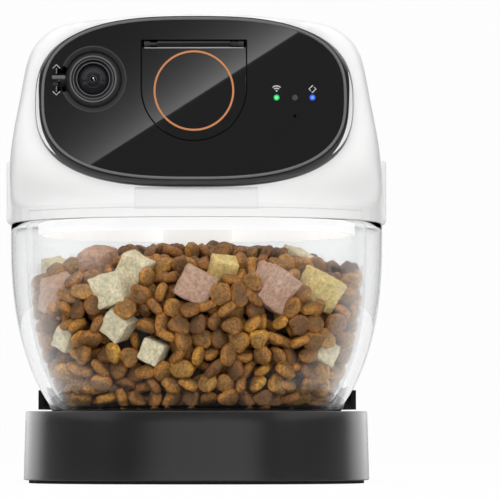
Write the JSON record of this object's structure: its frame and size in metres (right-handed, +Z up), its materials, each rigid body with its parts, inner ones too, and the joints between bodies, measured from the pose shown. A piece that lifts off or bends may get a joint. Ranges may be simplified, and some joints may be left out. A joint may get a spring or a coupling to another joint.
{
  "type": "treat tossing pet camera",
  "caption": "Pet camera that stores treats in a clear hopper, lifts them with a screw and tosses them through a sprung door; tilting camera, lift-off head.",
  "frame": {"origin": "middle of the footprint on the table", "axes": "+Z up, the front faces -Y, +X to the right as seen from the front"},
  "size_m": [0.204, 0.1678, 0.2507],
  "materials": {
    "base_black": "satin moulded black",
    "foot_rubber": "matte",
    "steel": "ground",
    "ballast_steel": "rolled",
    "clear_shell": "polished clear plastic",
    "clear_bin": "polished clear plastic",
    "frosted_skirt": "frosted, slightly clear",
    "kibble": "dry, grainy",
    "white_head": "smooth white",
    "floor_white": "fine moulded",
    "seal_white": "soft silicone",
    "riser_white": "smooth",
    "gear_nylon": "natural nylon",
    "pinion_brass": "cut",
    "motor_can": "plated can",
    "frame_sheet": "pressed sheet",
    "panel_black": "piano black",
    "bezel_grey": "satin plated",
    "window_black": "piano black window",
    "door_black": "piano black",
    "inner_black": "matte",
    "ring_copper": "satin orange",
    "ball_black": "fine matte",
    "ring_graphite": "turned graphite",
    "lens_black": "black lacquer",
    "lens_glass": "coated",
    "board_green": "solder mask",
    "lever_grey": "satin grey",
    "lamp_green": "lit light pipe",
    "lamp_blue": "lit light pipe",
    "sensor_grey": "smoked",
    "mic_grey": "mesh",
    "button_white": "satin"
  },
  "bodies": {
    "stand": {"base_shell": "base_black", "base_cradle": "base_black", "base_bottom_plate": "inner_black", "base_ballast": "ballast_steel", "base_foot_pad": "foot_rubber", "base_screws": "steel", "hopper_bowl": "clear_shell", "hopper_screws": "steel", "treat_bin": "clear_bin", "treat_fill": "kibble"},
    "head": {"head_skirt": "frosted_skirt", "head_floor": "floor_white", "hopper_seal": "seal_white", "head_front_shell": "white_head", "head_rear_shell": "white_head", "panel_screws": "steel", "riser_tube": "riser_white", "riser_cap": "riser_white", "lift_motor": "motor_can", "toss_frame": "frame_sheet", "toss_chute": "riser_white", "toss_motor": "motor_can", "toss_spring": "steel", "panel_body": "panel_black", "panel_bezel": "bezel_grey", "panel_window": "window_black", "panel_carrier": "inner_black", "door_pin": "steel", "door_spring": "steel", "door_throat": "inner_black", "camera_bracket": "inner_black", "camera_pins": "steel", "indicator_board": "board_green", "lamp_green": "lamp_green", "lamp_blue": "lamp_blue", "light_sensor": "sensor_grey", "microphone": "mic_grey", "main_board": "board_green", "port_board": "board_green", "power_socket": "steel", "speaker": "inner_black", "release_springs": "steel"},
    "door": {"toss_door": "door_black", "door_ring": "ring_copper"},
    "camera": {"camera_ball": "ball_black", "camera_rings": "ring_graphite", "lens_barrel": "lens_black", "lens_glass": "lens_glass", "camera_board": "board_green", "tilt_lever": "lever_grey"},
    "screw": {"lift_screw": "riser_white", "lift_gear": "gear_nylon"},
    "screw_drive": {"lift_pinion": "pinion_brass"},
    "arm": {"toss_arm": "riser_white", "toss_shaft": "steel", "toss_sector": "gear_nylon"},
    "arm_drive": {"toss_pinion": "pinion_brass"},
    "reset": {"reset_button": "button_white"},
    "left_release": {"release_left": "button_white"},
    "right_release": {"release_right": "button_white"}
  },
  "joints": [
    {"name": "head_lift", "type": "slide", "parent": "stand", "child": "head", "axis": [0, 0, 1], "range_m": [0, 0.11]},
    {"name": "door_swing", "type": "hinge", "parent": "head", "child": "door", "pos_m": [0, -0.0836, 0.2286], "axis": [-1, 0, 0], "range_deg": [0, 70], "stiffness_Nm_per_rad": 0.002, "springref_deg": -11.46},
    {"name": "camera_tilt", "type": "hinge", "parent": "head", "child": "camera", "pos_m": [-0.0523, -0.0745, 0.2103], "axis": [1, 0, 0], "range_deg": [-20, 20]},
    {"name": "lift_turn", "type": "hinge", "parent": "head", "child": "screw", "pos_m": [0, 0.03, 0.222], "axis": [0, 0, 1], "continuous": true},
    {"name": "lift_drive_turn", "type": "hinge", "parent": "head", "child": "screw_drive", "pos_m": [0.0321, 0.03, 0.222], "axis": [0, 0, 1], "continuous": true},
    {"name": "arm_swing", "type": "hinge", "parent": "head", "child": "arm", "pos_m": [0, 0, 0.163], "axis": [1, 0, 0], "range_deg": [0, 50]},
    {"name": "arm_drive_turn", "type": "hinge", "parent": "head", "child": "arm_drive", "pos_m": [0, 0.0201, 0.163], "axis": [1, 0, 0], "range_deg": [-155, 5]},
    {"name": "reset_press", "type": "slide", "parent": "head", "child": "reset", "axis": [0, -1, 0], "range_m": [0, 0.0008], "stiffness_N_per_m": 800, "springref_m": -0.0003},
    {"name": "left_press", "type": "slide", "parent": "head", "child": "left_release", "axis": [1, 0, 0], "range_m": [0, 0.0025], "stiffness_N_per_m": 700, "springref_m": -0.0005},
    {"name": "right_press", "type": "slide", "parent": "head", "child": "right_release", "axis": [-1, 0, 0], "range_m": [0, 0.0025], "stiffness_N_per_m": 700, "springref_m": -0.0005}
  ],
  "couplings": [
    {"joint": "lift_drive_turn", "follows": "lift_turn", "ratio": -3},
    {"joint": "arm_drive_turn", "follows": "arm_swing", "ratio": -3}
  ]
}
